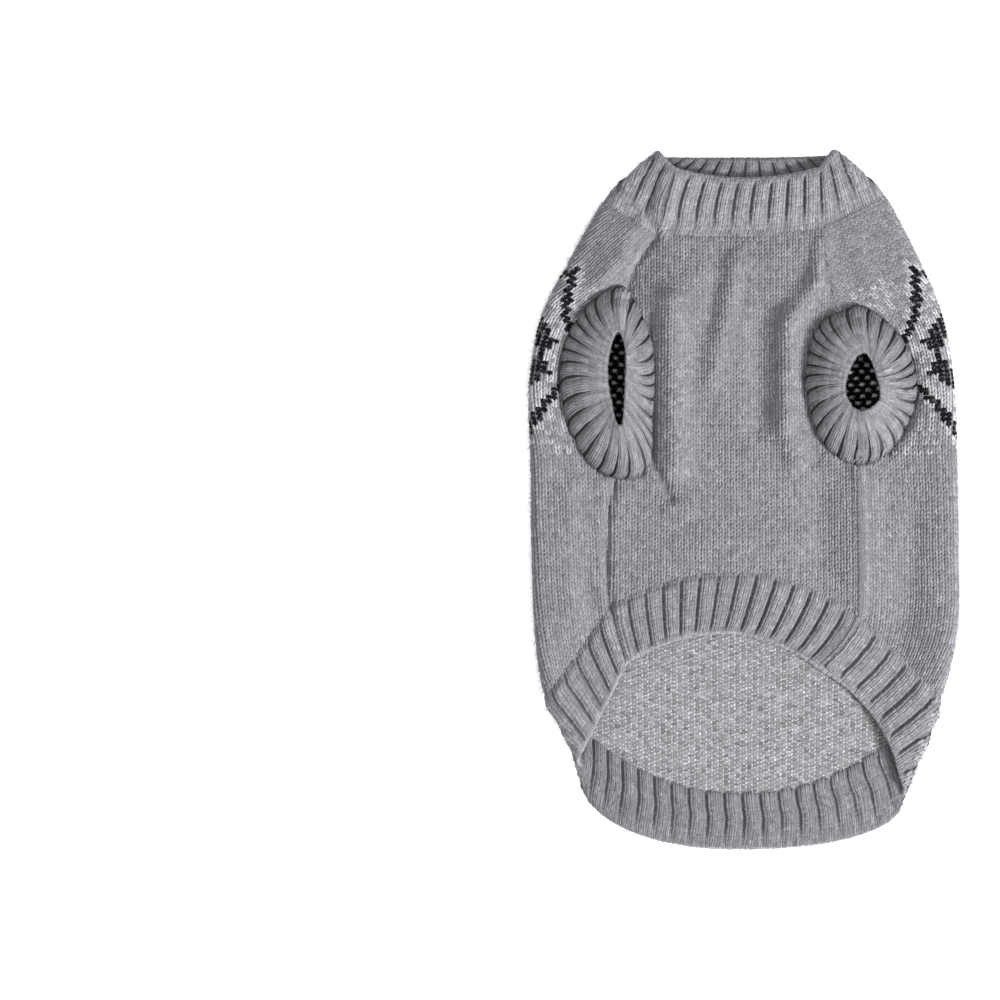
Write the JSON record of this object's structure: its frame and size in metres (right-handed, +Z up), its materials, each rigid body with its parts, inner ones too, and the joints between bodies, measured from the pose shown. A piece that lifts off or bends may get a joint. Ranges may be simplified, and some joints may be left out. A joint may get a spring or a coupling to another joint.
{
  "type": "dog sweater",
  "caption": "Knitted pullover sweater for a small dog, laid flat belly side up, with ribbed collar, ribbed leg cuffs and a curved ribbed hem.",
  "frame": {"origin": "on the table under the middle of the sweater's box", "axes": "+Z up from the table to the belly side, +Y towards the collar, +X to the right of the picture"},
  "size_m": [0.2158, 0.3486, 0.0166],
  "materials": {
    "body_knit": "matte",
    "rib_knit": "matte",
    "cuff_knit": "matte"
  },
  "bodies": {
    "root": {"back_panel": "body_knit", "belly_panel": "body_knit", "neck_rib": "rib_knit", "hem_rib": "rib_knit", "cuff_left": "cuff_knit", "cuff_right": "cuff_knit"}
  },
  "joints": []
}
